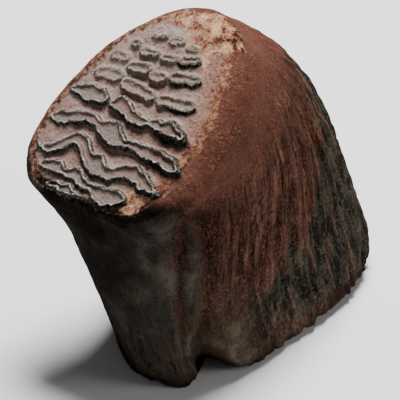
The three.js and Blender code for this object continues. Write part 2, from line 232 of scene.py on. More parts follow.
def ring(turn, t):
    """Level outline of the plain tooth at a share of its height."""
    f = back_share(turn, smooth(SKEW, t))
    s = np.sin(turn)
    half = np.where(s > 0, smooth(NEAR_HALF, t), smooth(FAR_HALF, t))
    box = lerp(smooth(BOX_FRONT, t), smooth(BOX_BACK, t), f)
    reach = np.clip(1 - f / smooth(MID_REACH, t), 0, 1) ** MID_POWER
    x = lerp(smooth(FRONT_X, t), smooth(BACK_X, t), f)
    y = smooth(MID_FRONT, t) * reach - half * signed_power(s, box)
    z = lerp(smooth(FRONT_Z, t), smooth(BACK_Z, t), f)
    return np.stack([x, y, z], -1)


def leaning(angle, t=1):
    """Turn of a column at a share of the side's height."""
    return angle + LEAN * np.sin(angle) * (2 * t * t - 1)


def foot_shift(angle):
    degrees = np.degrees(angle)
    return np.stack([smooth(FOOT_X, degrees), smooth(FOOT_Y, degrees), 0 * degrees], -1)


def plain_side(angle, c):
    """Points of the side without its relief, c from 0 at the base to 1 at the chewing surface."""
    t = np.clip(c / EDGE_START, 0, 1)
    turn = leaning(angle, t)
    roll = np.clip((c - EDGE_START) / (1 - EDGE_START), 0, 1) * math.pi / 2
    level = np.zeros_like(turn)
    join = chewing_edge(turn, level) - ring(turn, level + 1)
    point = ring(turn, t) + join * (t ** JOIN_POWER)[..., None]
    foot = np.clip(1 - c / FOOT_RISE, 0, 1) ** FOOT_POWER
    point += foot_shift(angle) * foot[..., None]
    return np.where((roll > 0)[..., None], chewing_edge(turn, roll), point)


def below_cap(point, wander):
    """1 on the ribbed wall, 0 on the smooth cement cap; wander shifts the cap's lower edge."""
    return step(CAP_SOFTNESS, -CAP_SOFTNESS / 2, point[..., 2] - smooth(CAP_EDGE, point[..., 0]) + wander)


def rootness(degrees):
    """1 on the root, which has no ribs, and 0 on the crown."""
    return 1 - step(ROOT_BACK, CROWN_FRONT, degrees) + step(FAR_CROWN, FAR_ROOT, degrees)


def from_grooves(degrees, c):
    """Column angles from the root's two grooves."""
    return [degrees - smooth(keys, c) for keys in (GROOVE_FRONT, GROOVE_REAR)]


def side_relief(angle, c, column, point, wander):
    """How far the side stands out from the plain tooth. A rib's crest is at an even column."""
    degrees = np.degrees(angle)
    below = below_cap(point, wander)
    back = step(*BACK_START, degrees) * step(*BACK_END, degrees)
    flare = step(FLARE_TOP, 0, c)
    ribs = (RIB_HEIGHT + BACK_RIB_EXTRA * back) * np.cos(math.pi * column)
    grooves = GROOVE_DEPTH * step(*GROOVE_TOP, c) * lerp(1, GROOVE_FOOT, flare)
    grooves = grooves * sum(bump(away, GROOVE_WIDTH) for away in from_grooves(degrees, c))
    lobe = LOBE_BULGE * bump(degrees - LOBE_ANGLE, LOBE_WIDTH) * bump(c - LOBE_HEIGHT, LOBE_HEIGHT)
    cap = CAP_THICKNESS * (1 - below) - CAP_SINK * (1 - flare)
    return ribs * below * (1 - rootness(degrees)) + cap - grooves + lobe


def side_frame(angle, c):
    """Points of the plain side and its outward normals."""
    nudge = 0.001
    point = plain_side(angle, c)
    along = plain_side(angle + nudge, c) - plain_side(angle - nudge, c)
    up = plain_side(angle, np.minimum(c + nudge, 1)) - plain_side(angle, np.maximum(c - nudge, 0))
    normal = np.cross(along, up)
    normal[..., 2] = np.where(c == 0, 0, normal[..., 2])
    normal /= np.linalg.norm(normal, axis=-1)[..., None]
    return point, normal


def disc_place(a, b):
    """Column angle and distance from the middle for a place on the square."""
    x = a * np.sqrt(1 - END_SHARE * b * b)
    y = b * np.sqrt(1 - (1 - END_SHARE) * a * a)
    return np.arctan2(y, x) % (2 * math.pi), np.minimum(np.hypot(x, y), 1)


def column_angle(column):
    """Angle of a column, counted round the outline from the middle of the front past the near side."""
    half = CELLS_ACROSS / 2
    corners = [0, half, half + CELLS_ALONG, 3 * half + CELLS_ALONG, 3 * half + 2 * CELLS_ALONG,
               4 * half + 2 * CELLS_ALONG]
    a = np.interp(column, corners, [1, 1, -1, -1, 1, 1])
    b = np.interp(column, corners, [0, 1, 1, -1, -1, 0])
    return disc_place(smooth(ALONG_PLACES, (1 - a) / 2), b)[0]


# --- Noise ---

def lattice(ix, iy, iz, seed):
    """A fixed pseudo-random number in -1..1 for each lattice point."""
    h = (ix * 374761393 + iy * 668265263 + iz * 974634777 + seed * 1274126177) & 0xFFFFFFFF
    h = ((h ^ (h >> 13)) * 1274126177) & 0xFFFFFFFF
    return ((h ^ (h >> 16)) & 0xFFFF) / 32767.5 - 1


def noise(x, y, z, seed):
    """Value noise in -1..1, one lattice cell per unit."""
    cells = [np.floor(v).astype(np.int64) for v in (x, y, z)]
    shares = []
    for v, cell in zip((x, y, z), cells):
        u = v - cell
        shares.append(u * u * u * (u * (6 * u - 15) + 10))
    total = 0
    for dx in (0, 1):
        for dy in (0, 1):
            for dz in (0, 1):
                weight = 1
                for share, d in zip(shares, (dx, dy, dz)):
                    weight = weight * (share if d else 1 - share)
                total = total + weight * lattice(cells[0] + dx, cells[1] + dy, cells[2] + dz, seed)
    return total


def flat_noise(x, y, seed):
    return noise(x, y, 0 * x, seed)


def rough(point, size, seed, octaves=3):
    """Fractal noise over places in millimetres, of a lump size in millimetres."""
    total, height = 0, 1
    for k in range(octaves):
        scaled = point * (2 ** k / size)
        total = total + height * noise(scaled[..., 0], scaled[..., 1], scaled[..., 2], seed + k)
        height *= 0.5
    return total


# --- Relief of the chewing surface ---

CRIMP_SIZE, CRIMP_DEPTH = 3.6, 0.95
FINE_CRIMP_SIZE, FINE_CRIMP_DEPTH = 1.5, 0.5
PLATE_POINT_STEP = 0.4
END_ROUND = 0.15
# How far an enamel wall leans out at the back, more in front and most at a plate's near end
SKIRT, FRONT_SKIRT, NEAR_SKIRT = 0.35, 0.6, 2.8
NEAR_SKIRT_REACH = (22, 8)
CREST_LINE = 0.65  # depth of the middle of the enamel crest inside a plate's outline
CREST_WIDTH = 0.7
PLATE_MARGIN = 8
THIN_HALF = 0.6  # least half of a plate's width
STILL_END = 3  # millimetres at a plate's ends where the crimping fades
FAR_AWAY = 1e9


def plate_outline(front, back, crimping, seed):
    """Closed outline of a plate, with crimped walls and rounded ends."""
    start, end = front[0][0], front[-1][0]
    count = int((end - start) / PLATE_POINT_STEP)
    share = np.linspace(0, 1, count)
    q = lerp(start, end, (1 - np.cos(math.pi * share)) / 4 + share / 2)
    reach = np.minimum(q - start, end - q)
    still = step(0, STILL_END, reach)
    flat = np.zeros_like(q)
    walls = []
    for wall, key in ((smooth(front, q), seed), (smooth(back, q), seed + 50)):
        crimp = (CRIMP_DEPTH * noise(q / CRIMP_SIZE, flat, flat, key)
                 + FINE_CRIMP_DEPTH * noise(q / FINE_CRIMP_SIZE, flat, flat, key + 7))
        walls.append(wall + still * crimp * crimping)
    low, high = walls
    middle, half = (low + high) / 2, np.maximum((high - low) / 2, THIN_HALF)
    half = half * np.sqrt(np.clip(END_ROUND + reach / half, 0, 1))
    return np.concatenate([np.stack([q, middle - half], -1), np.stack([q, middle + half], -1)[::-1]])


def plate_depth(q, l, outline):
    """Distance from each place to the outline, positive inside."""
    away = np.full(q.shape, FAR_AWAY)
    odd = np.zeros(q.shape, bool)
    for (x0, y0), (x1, y1) in zip(outline, np.roll(outline, -1, axis=0)):
        dx, dy = x1 - x0, y1 - y0
        share = np.clip(((q - x0) * dx + (l - y0) * dy) / max(dx * dx + dy * dy, 1e-9), 0, 1)
        away = np.minimum(away, (q - x0 - share * dx) ** 2 + (l - y0 - share * dy) ** 2)
        if y0 != y1:
            odd ^= ((y0 > l) != (y1 > l)) & (q < x0 + (l - y0) * dx / dy)
    return np.where(odd, 1, -1) * np.sqrt(away)


class Plate:
    """One enamel plate."""

    def __init__(self, number, front, back):
        self.number, self.front, self.back = number, front, back
        self.just_open = 1.0 if number >= len(LONG_PLATES) else 0.0
        self.outline = plate_outline(front, back, 1 - 0.4 * self.just_open, 10 + 3 * number)

    def near(self, q, l):
        """Which places are in the plate or near it."""
        lo, hi = self.outline.min(0) - PLATE_MARGIN, self.outline.max(0) + PLATE_MARGIN
        return (q > lo[0]) & (q < hi[0]) & (l > lo[1]) & (l < hi[1])

    def relief(self, x, y, bed, wear):
        """The plate's height, the ditch along it, the depth inside it and how far its wall leans out."""
        k, just_open = self.number, self.just_open
        depth = plate_depth(x, y, self.outline) + 0.18 * flat_noise(x / 1.3, y / 1.3, 420 + k)
        end = self.front[-1][0]
        near_end = step(end - NEAR_SKIRT_REACH[0], end - NEAR_SKIRT_REACH[1], x) * step(0, 10, end)
        near_end = near_end * lerp(0.3, 1, step(22, 40, y)) * (1 - 0.5 * just_open)
        front_side = step(1.5, -1.5, y - (smooth(self.front, x) + smooth(self.back, x)) / 2)
        tall = lerp(0.6, 1, step(97, 80, y))
        skirt = (SKIRT + FRONT_SKIRT * front_side * (1 - 0.5 * just_open)
                 + NEAR_SKIRT * near_end * lerp(0.3, 1, front_side) * tall)
        uneven = 1 + 0.16 * flat_noise(x / 5, y / 5, 400 + k)
        uneven = uneven + 0.12 * just_open * flat_noise(x / 1.4, y / 1.4, 440 + k)
        floor = lerp(BASIN, SHORT_BASIN, just_open) * tall - 0.35 * step(1.5, 3.5, depth) + 0.4 * wear
        floor = floor + 0.2 * just_open * flat_noise(x / 1.8, y / 1.8, 450 + k)
        ridge = (lerp(CREST, SHORT_CREST, just_open) * tall + 0.7 * near_end) * uneven
        inner = lerp(floor, ridge, bump(depth - CREST_LINE, CREST_WIDTH))
        outside = np.minimum(depth - CREST_LINE, 0)
        outer = lerp(bed, ridge, bump(outside, skirt + CREST_LINE))
        dip = 0.5 * bump(depth + 2.6, 1.6) + 1.1 * near_end * front_side * bump(depth + 3.6, 2.6)
        height = np.where(depth > CREST_LINE, inner, outer)
        return height, dip * step(0, -0.8, depth), depth, skirt


def all_plates():
    walls = list(LONG_PLATES)
    for start, end, front, back, rise in SHORT_PLATES:
        walls.append(([(start, front), (end, front + rise)], [(start, back), (end, back + rise)]))
    return [Plate(number, front, back) for number, (front, back) in enumerate(walls)]


def chewing_relief(q, l, base):
    """Height over the chewing plane, and the masks of the plates.

    plate is the depth inside the nearest plate, lean is how far its wall leans out and short is 1 on a
    plate that is only just worn open.
    """
    flat = np.stack([q, l, np.zeros_like(q)], -1)
    wear = 0.5 * rough(flat, 14, 300) + 0.16 * rough(flat, 2.5, 310)
    ground = base + wear
    ditch, short = np.zeros_like(q), np.zeros_like(q)
    top, nearest = np.full_like(q, -FAR_AWAY), np.full_like(q, -PLATE_MARGIN)
    lean = np.full_like(q, SKIRT)
    for plate in all_plates():
        pick = plate.near(q, l)
        height, dip, depth, skirt = plate.relief(q[pick], l[pick], ground[pick], wear[pick])
        top[pick] = np.maximum(top[pick], height)
        ditch[pick] = np.maximum(ditch[pick], dip)
        closer = depth / skirt > nearest[pick] / lean[pick]
        nearest[pick] = np.where(closer, depth, nearest[pick])
        lean[pick] = np.where(closer, skirt, lean[pick])
        short[pick] = np.where(closer, plate.just_open, short[pick])
    height = np.maximum(ground - ditch * step(-0.4, -1, nearest / lean), top)
    return height, dict(plate=np.clip(nearest, NO_PLATE, 4), lean=lean, short=short)


# --- The fine mesh ---

FINE_ALONG, FINE_ACROSS = 6, 11  # fine cells for each CAD cell
SIDE_RINGS = 72
FINE_FROM = 0.86  # from here up, the columns are twice as many
SHOULDER_RINGS, EDGE_RINGS = 6, 18
BASE_REACHES = [0.99, 0.975, 0.955, 0.93, 0.9, 0.87, 0.82, 0.77, 0.72, 0.67, 0.62, 0.58, 0.54, 0.5, 0.46,
                0.42]
CORE_REACHES = [0.36, 0.3, 0.24, 0.18, 0.12, 0.06]
FLOW_ROUND, FLOW_UP = 4.5, 150  # millimetres for a column, and for the whole height
MASKS = ("chew", "plate", "lean", "short", "cap", "root", "front", "pale", "dark", "dust", "foot", "patch",
         "valley", "calm", "high", "brow", "split", "broken")
NOT_CHEWED, NO_PLATE = -20.0, -6  # values of the masks chew and plate away from the chewing surface

# Where the smooth cement's colour ends below, and the dark stain's upper and lower limits, as
# (column angle, height share). The hidden side mirrors them.
CAP_FOOT = [(34, 1.1), (42, 1.06), (47, 1.0), (52, 0.95), (58, 0.89), (65, 0.84), (81, 0.75), (94, 0.73),
            (110, 0.74), (140, 0.76), (180, 0.76)]
DARK_TOP = [(84, 0.28), (100, 0.31), (108, 0.3), (117, 0.35), (125, 0.38), (132, 0.44), (138, 0.53),
            (142, 0.6), (151, 0.68), (180, 0.72)]
DARK_FOOT = [(84, 0.22), (94, 0.16), (106, 0.1), (112, 0.06), (128, 0.04), (150, 0.0), (180, -0.05)]


class Skin:
    """Vertices with their masks, and faces, collected ring by ring."""

    def __init__(self):
        self.points, self.flows, self.values, self.faces = [], [], [], []
        self.count = 0

    def add(self, points, flow, **values):
        shape = points.shape[:-1]
        size = int(np.prod(shape))
        self.points.append(points.reshape(size, 3))
        self.flows.append(np.broadcast_to(flow, points.shape).reshape(size, 3))
        table = np.zeros((size, len(MASKS)))
        for name, value in dict(dict(chew=NOT_CHEWED, plate=NO_PLATE, lean=SKIRT), **values).items():
            table[:, MASKS.index(name)] = np.broadcast_to(value, shape).ravel()
        self.values.append(table)
        self.count += size
        return np.arange(self.count - size, self.count).reshape(shape)

    def face(self, *corners):
        self.faces += np.stack(np.broadcast_arrays(*corners), -1).reshape(-1, len(corners)).tolist()

    def join(self, upper, lower):
        """Faces between two closed rings; the upper one may have twice as many vertices."""
        if len(upper) == len(lower):
            self.face(lower, np.roll(lower, -1), np.roll(upper, -1), upper)
        else:
            odd, even = upper[1::2], upper[::2]
            self.face(lower, odd, even)
            self.face(lower, np.roll(lower, -1), odd)
            self.face(np.roll(lower, -1), np.roll(even, -1), odd)

    def sew(self, rows):
        for below, above in zip(rows, rows[1:]):
            self.join(above, below)


def flow_at(column, level):
    """Place along the plates' own grain: distance round the tooth and up it, in metres."""
    return np.stack([column * FLOW_ROUND, level * FLOW_UP, np.zeros_like(column)], -1) * MM


class Side:
    """Places on the tooth's side, with what both its relief and its colours depend on."""

    def __init__(self, column, level):
        self.column, self.level = column, level
        self.angle = column_angle(column)
        self.plain, self.normal = side_frame(self.angle, level)
        self.degrees = np.degrees(self.angle)
        self.mirrored = np.minimum(self.degrees, 360 - self.degrees)
        self.along = np.stack([column, level * 9, 0 * column], -1)
        self.wander = 4 * self.lumps(22, 20) + 1.2 * self.lumps(5, 24)
        self.root = np.clip(rootness(self.degrees), 0, 1)
        self.below = below_cap(self.plain, self.wander)
        self.crown = (1 - self.root) * self.below
        self.calm = step(92, 68, self.mirrored)  # 1 on the first ribs behind the root
        self.under_cap = smooth(CAP_FOOT, self.mirrored) - level
        self.cap = step(-0.08, 0.05, 0.04 * self.lumps(14, 95) - self.under_cap)
        # Ribs are uneven: they wander, some fade out, and all grow out of the cap gradually.
        self.jitter = 0.45 * flat_noise(column / 2.3, level * 5, 30) * (1 - self.root)
        self.phase = np.cos(math.pi * (column + self.jitter))
        self.fading = np.clip(0.35 + 0.3 * self.calm + 0.5 * self.drawn(3.2, 33, 2), 0, 0.85)
        self.emerging = step(0, 0.2, self.under_cap + 0.03 * flat_noise(column / 2, level * 5, 34))

    def lumps(self, size, seed, octaves=3):
        """Fractal noise of a lump size in millimetres."""
        return rough(self.plain, size, seed, octaves)

    def drawn(self, size, seed, octaves=3):
        """Fractal noise drawn out up the plates, of a lump size in columns."""
        return rough(self.along, size, seed, octaves)


def wall_cracks(side):
    """Long cracks up the ribbed wall."""
    column, level = side.column, side.level
    line = flat_noise(column * 0.8, level * 3, 46) + 0.3 * flat_noise(column * 2.3, level * 8, 47)
    return side.crown * bump(line, 0.12) * step(-0.1, 0.25, side.under_cap)


def root_cracks(side):
    """Cracks up the lower root and wrinkles round it under the rim."""
    column, level = side.column, side.level
    line = flat_noise(column * 0.9, level * 4, 52) + 0.25 * side.lumps(3, 53)
    split = bump(line, 0.09) * step(0.5, 0.2, level)
    line = flat_noise(column * 0.35, level * 30, 54) + 0.3 * side.lumps(5, 55)
    ripple = bump(line, 0.12) * step(0.7, 0.85, level)
    return np.maximum(split, 0.7 * ripple * step(0.98, 0.94, level)) * side.root


def fine_relief(side, crack, split, broken):
    """How far the side stands out, with uneven ribs, threads, chips, cracks and the broken lower edge."""
    column, level, crown, emerging = side.column, side.level, side.crown, side.emerging
    out = side_relief(side.angle, level, column + side.jitter, side.plain, side.wander)
    missing = np.maximum(side.fading, 1 - emerging)
    out = out - RIB_HEIGHT * side.phase * side.below * (1 - side.root) * missing
    thread = flat_noise(column * 1.7, level * 9, 40) + 0.5 * flat_noise(column * 3.4, level * 16, 41)
    out = out + lerp(0.36, 0.12, side.calm) * crown * emerging * thread + 0.5 * side.lumps(16, 50)
    out = out + lerp(0.12, 0.36, crown) * side.lumps(4, 60, 2)
    out = out - crown * emerging * step(0.45, 0.9, flat_noise(column / 1.3, level * 14, 44)) * 0.9
    out = out - 0.8 * crack * (1 - 0.6 * side.calm)
    out = out - 0.5 * split
    return out - broken * (0.3 + 0.8 * np.abs(side.lumps(6, 80)))


def stain_mask(side):
    ragged = 0.045 * side.drawn(2.2, 90) + 0.02 * side.phase
    return (step(0.05, -0.05, side.level - smooth(DARK_TOP, side.mirrored) + ragged)
            * step(-0.03, 0.03, side.level - smooth(DARK_FOOT, side.mirrored) + ragged)
            * step(82, 92, side.mirrored))


def crown_masks(side):
    """Valleys between ribs, the paler upper wall, the greyer foot, and painted shade under the cap's lower
    edge.
    """
    level, mirrored = side.level, side.mirrored
    low_down = lerp(0.45, 1, step(0.8, 0.45, level))
    valley = side.crown * side.emerging * (1 - side.fading) * step(0.5, -0.5, side.phase) * low_down
    high = step(0.42, 0.7, level + 0.06 * side.drawn(2.6, 137)) * step(58, 76, mirrored)
    band = 0.7 * step(88, 97, mirrored) * step(0.08, 0.22, level) * step(0.75, 0.5, level)
    foot = step(0.45, 0.1, level + 0.05 * side.lumps(12, 135)) * step(55, 64, mirrored)
    foot = foot * lerp(1, 0.35, step(122, 140, mirrored))
    # Painted shade: a dark band just under the cap's lower edge, where its overhang shades the wall.
    brow = bump(0.045 - side.under_cap + 0.02 * side.lumps(14, 95), 0.03) * step(40, 48, mirrored)
    brow = brow * lerp(1, 0.4, step(60, 72, mirrored)) * step(190, 170, side.degrees)
    return dict(valley=valley, high=np.maximum(high, band), foot=foot, brow=brow)


def root_masks(side):
    """The slate of the root, its black front with painted shade on it and under the rim, its grooves, and a
    pale tint with painted light on its lobe and at the foot of its rear groove.
    """
    level, degrees = side.level, side.degrees
    turned = np.where(degrees > 180, degrees - 360, degrees) + 4 * side.lumps(18, 120)
    # Front: the face turned away from the light, which root_colour paints near black as painted shade over
    # the dark slate.
    front = step(18, -18, turned - lerp(-9, 21, step(0.2, 0.8, level))) * step(-150, -110, turned)
    slate = (1 - step(52, 63, degrees) + step(300, 320, degrees)) * (1 - side.cap)
    # Painted shade under the rim: the front mask also covers the top of the root just below it.
    front = np.maximum(front, 0.85 * slate * step(0.74, 0.93, level + 0.02 * side.lumps(6, 125))
                       * step(46, 22, turned))
    in_front, in_rear = from_grooves(degrees, level)
    warm = bump(in_front - 1, 6.5) * step(0.5, 0.75, level + 0.03 * side.drawn(1.6, 127))
    groove = np.maximum(bump(in_front, GROOVE_WIDTH), bump(in_rear, GROOVE_WIDTH)) * step(0.95, 0.75, level)
    groove = groove * lerp(0.2, 1, step(0.08, 0.3, level + 0.05 * side.lumps(7, 132)))
    # A pale yellow-grey tint on the lobe, partly painted light.
    lobe = bump(degrees - LOBE_ANGLE - 2, 1.3 * LOBE_WIDTH)
    lobe = lobe * step(0.5, 0.12, level + 0.05 * side.lumps(9, 130))
    # Painted light: paler at the foot of the rear groove, lifting the shade on its inner side.
    painted_light_at_groove_foot = 0.6 * bump(degrees - 50, 6) * step(0.2, 0.08, level + 0.04 * side.lumps(6, 131))
    return dict(root=slate * (1 - 0.85 * warm), front=front, groove=groove * (1 - 0.5 * warm),
                dust=np.maximum(lobe, painted_light_at_groove_foot))


def side_surface(column, level):
    """The tooth's side with all its relief, and its masks."""
    side = Side(column, level)
    crack, split = wall_cracks(side), root_cracks(side)
    broken = step(0.06, 0.01, level + 0.03 * side.lumps(9, 70))
    out = fine_relief(side, crack, split, broken)
    point = side.plain + side.normal * (out * step(1, RELIEF_TOP, level))[..., None]
    point[..., 2] += step(0.03, 0, level) * 1.4 * np.abs(side.lumps(5, 85))
    masks = dict(crown_masks(side), **root_masks(side))
    valley = np.maximum(masks["valley"], masks.pop("groove"))
    masks["valley"] = np.maximum(valley, 0.8 * crack * (1 - 0.5 * side.calm))
    masks.update(cap=side.cap, dark=stain_mask(side), split=split, calm=side.calm, broken=broken)
    return point, masks


# Outlines of the two flaked patches, as (q, l).
PATCH = [(-20, 98.5), (-14, 104.5), (-5, 110), (8, 116), (25, 115), (24.5, 103), (22, 96.5), (15.5, 94.5),
         (17, 84), (9, 89.5), (1, 95), (-8, 100)]
FRONT_PATCH = [(5, 10), (9, 13), (15, 14), (20, 13), (22.5, 10.5), (22, 7.5), (17, 5.5), (11, 6)]
GREY_MARGIN = (4, 4.5, -4, 2)  # millimetres, in the order of EDGE_RADIUS


def patch_mask(q, l):
    """Flaked tan patches: by the top corner of the chewing surface and at its front edge."""
    flat = np.stack([q, l, 0 * q], -1)
    ragged = 2.2 * rough(flat, 5, 500, 4)
    top, front = (plate_depth(q, l, np.array(outline, float)) + ragged for outline in (PATCH, FRONT_PATCH))
    return np.maximum(step(-0.4, 0.4, top), step(-0.4, 0.4, front))


def grey_margin(turn):
    """How far inside the rim the grey worn surface ends."""
    return sum(share * margin for share, margin in zip(facing(turn), GREY_MARGIN))


def pale_share(turn):
    """How pale the rim is: most at the near edge and the back, not at all at the front and far side."""
    return np.clip(0.2 + np.sin(turn) - 0.6 * np.cos(turn), 0, 1)


def side_wall(skin, fine):
    """The side up to where its columns double. Returns its lowest vertices and points, and its highest."""
    column, level = np.meshgrid(fine[::2], np.linspace(0, FINE_FROM, SIDE_RINGS + 1))
    point, values = side_surface(column, level)
    rows = skin.add(point, flow_at(column, level), **values)
    skin.sew(rows)
    return rows[0], point[0], rows[-1]


def edge_masks(front, turn, roll, l):
    """Black lip, pale band and millimetres inside the rim, on the rounded edge."""
    turned = np.degrees(turn)
    lip = np.maximum(step(14, 4, l) * step(62, 48, turned), step(80, 68, turned) * step(0.35, 0.65, roll))
    lip = lip * (1 - step(24, 38, turned) * step(0.7, 0.45, roll))
    far = step(345, 320, turned) * step(180, 190, turned)
    front = front * lerp(1, 0.2, far * step(0, 0.4, roll))
    corner = bump(turned - 35, 28)
    chew = -edge_radius(turn) * (1 - roll) * math.pi / 2 * (1 + 3 * corner) - grey_margin(turn)
    return dict(front=np.where(roll > 0, np.maximum(front, lip), front), pale=pale_share(turn) * (1 - lip),
                chew=np.where(roll > 0, chew, NOT_CHEWED))


def rounded_edge(skin, fine, lower):
    """The top of the side and the rounded edge over it. Returns its highest vertices."""
    levels = np.concatenate([np.linspace(FINE_FROM, EDGE_START, SHOULDER_RINGS + 1)[1:],
                             np.linspace(EDGE_START, 1, EDGE_RINGS + 1)[1:]])
    column, level = np.meshgrid(fine, levels)
    point, values = side_surface(column, level)
    turn = leaning(column_angle(column))
    roll = np.clip((level - EDGE_START) / (1 - EDGE_START), 0, 1)
    q, l, plain_height = edge_place(turn, roll * math.pi / 2)
    height, plates = chewing_relief(q, l, plain_height)
    at_plate = step(-1.6, 0, plates["plate"] / plates["lean"]) * step(0, 0.15, roll)
    lift = (height - plain_height) * np.maximum(step(0.35, 0.8, roll), at_plate)
    chipped = step(0.3, 0.9, np.cos(turn)) * step(0, 0.5, roll)
    lift = lift - chipped * 0.7 * np.abs(rough(point, 3.2, 140))
    values.update(plates, **edge_masks(values["front"], turn, roll, l))
    values.update(plate=np.where(roll > 0, plates["plate"], NO_PLATE),
                  patch=patch_mask(q, l) * step(0, 0.2, roll))
    edge = skin.add(point + lift[..., None] * OUT, flow_at(column, level), **values)
    skin.join(edge[0], lower)
    skin.sew(edge)
    return edge[-1]


def chewing_surface(skin, border, n, m):
    """The worn surface inside the rim: n cells along and m across, sewn to the rounded edge."""
    u, b = np.meshgrid(np.arange(1, n) / n, 1 - 2 * np.arange(1, m) / m, indexing="ij")
    angle, reach = disc_place(lerp(1 - 2 * u, smooth(ALONG_PLACES, u), b ** 4), b)
    turn = leaning(angle)
    spoke = rim(turn) - RIM_CENTRE
    place = RIM_CENTRE + spoke * reach[..., None]
    q, l = place[..., 0], place[..., 1]
    inside = (1 - reach) * np.linalg.norm(spoke, axis=-1)
    front = np.maximum(step(9, 3, l), step(82, 70, np.degrees(turn)) * step(4.5, 1.5, inside))
    pale = pale_share(turn) * (1 - front)
    height, plates = chewing_relief(q, l, -DISH_DEPTH * step(1, DISH_FLOOR, reach))
    grid = np.zeros((n + 1, m + 1), int)
    grid[1:-1, 1:-1] = skin.add(chewing_point(q, l, height), np.stack([q, l, 0 * q], -1) * MM,
                                chew=inside - grey_margin(turn), front=front, pale=pale,
                                patch=patch_mask(q, l), **plates)
    grid[0] = np.roll(border, m // 2)[m::-1]
    grid[:, 0] = border[m // 2:m // 2 + n + 1]
    grid[-1] = border[m // 2 + n:m // 2 + n + m + 1]
    grid[:, -1] = np.roll(border, -(m // 2 + n + m))[n::-1]
    skin.face(grid[:-1, :-1], grid[1:, :-1], grid[1:, 1:], grid[:-1, 1:])


def underside(skin, ring_below, base, column):
    """The flat ring that the tooth rests on and the ridged, broken hollow inside it."""
    angle = column_angle(column)
    level = np.zeros_like(column)
    plain, normal = side_frame(angle, level)
    plain = plain + normal * side_relief(angle, level, level + SMOOTH_COLUMN, plain, level)[:, None]
    near = (column >= CELLS_ACROSS / 2) & (column <= CELLS_ACROSS / 2 + CELLS_ALONG)
    plate_x, plate_columns = plain[near, 0], column[near]
    for reach in BASE_REACHES + CORE_REACHES:
        if reach == CORE_REACHES[0]:
            angle, plain, base = angle[::2], plain[::2], base[::2]
        outside = step(REST_REACH, 1, reach)
        outline = lerp(plain, base, outside)
        point = lerp(UNDER_CENTRE, outline, reach)
        point += foot_shift(angle) * (reach * (reach - 1))
        hollow = step(HOLLOW_REACH[1], HOLLOW_REACH[0], reach)
        plate = np.cos(math.pi * np.interp(point[:, 0], plate_x, plate_columns))
        lumps = 0.9 * np.abs(rough(point, 6, 600)) * np.maximum(hollow, outside)
        point[:, 2] = hollow * (HOLLOW_RISE - HOLLOW_RIDGE * plate) + outline[:, 2] * outside
        point[:, 2] += lumps
        current = skin.add(point, point * MM, broken=0.7, valley=hollow * step(0, 1, plate))
        skin.join(ring_below, current)
        ring_below = current
    centre = skin.add(UNDER_CENTRE[None] + (0, 0, HOLLOW_RISE), UNDER_CENTRE[None] * MM, broken=0.7)
    skin.face(ring_below, centre[0], np.roll(ring_below, -1))


def fine_columns(n, m):
    """Columns from the middle of the front round the outline: n fine cells along a side, m across an end."""
    half = CELLS_ACROSS / 2
    return np.concatenate([
        np.arange(m // 2) / FINE_ACROSS,
        half + np.arange(n) / FINE_ALONG,
        half + CELLS_ALONG + np.arange(m) / FINE_ACROSS,
        3 * half + CELLS_ALONG + np.arange(n) / FINE_ALONG,
        3 * half + 2 * CELLS_ALONG + np.arange(m // 2) / FINE_ACROSS,
    ])


def build_tooth():
    n, m = CELLS_ALONG * FINE_ALONG, CELLS_ACROSS * FINE_ACROSS
    fine = fine_columns(n, m)
    skin = Skin()
    lowest, base, highest = side_wall(skin, fine)
    chewing_surface(skin, rounded_edge(skin, fine, highest), n, m)
    underside(skin, lowest, base, fine[::2])
    return skin


def add_object(name, data):
    thing = bpy.data.objects.new(name, data)
    bpy.context.scene.collection.objects.link(thing)
    return thing


def make_tooth():
    skin = build_tooth()
    low, high = (np.array(corner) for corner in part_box(NODE))
    places = np.clip((np.concatenate(skin.points) - BOX_CENTRE) * MM, low, high)
    mesh = bpy.data.meshes.new("molar_tooth")
    mesh.from_pydata(places.tolist(), [], skin.faces)
    mesh.attributes.new("flow", "FLOAT_VECTOR", "POINT").data.foreach_set(
        "vector", np.concatenate(skin.flows).astype(np.float32).ravel())
    values = np.concatenate(skin.values).astype(np.float32)
    for k, name in enumerate(MASKS):
        attribute = mesh.attributes.new(name, "FLOAT", "POINT")
        attribute.data.foreach_set("value", np.ascontiguousarray(values[:, k]))
    mesh.shade_smooth()
    mesh.update()
    return add_object("molar_tooth", mesh)


# --- The material ---

def tone(red, green, blue):
    """Colour of a surface from its 0..255 display values."""
    return tuple(v / 255 / 12.92 if v < 10.31 else ((v / 255 + 0.055) / 1.055) ** 2.4
                 for v in (red, green, blue)) + (1,)


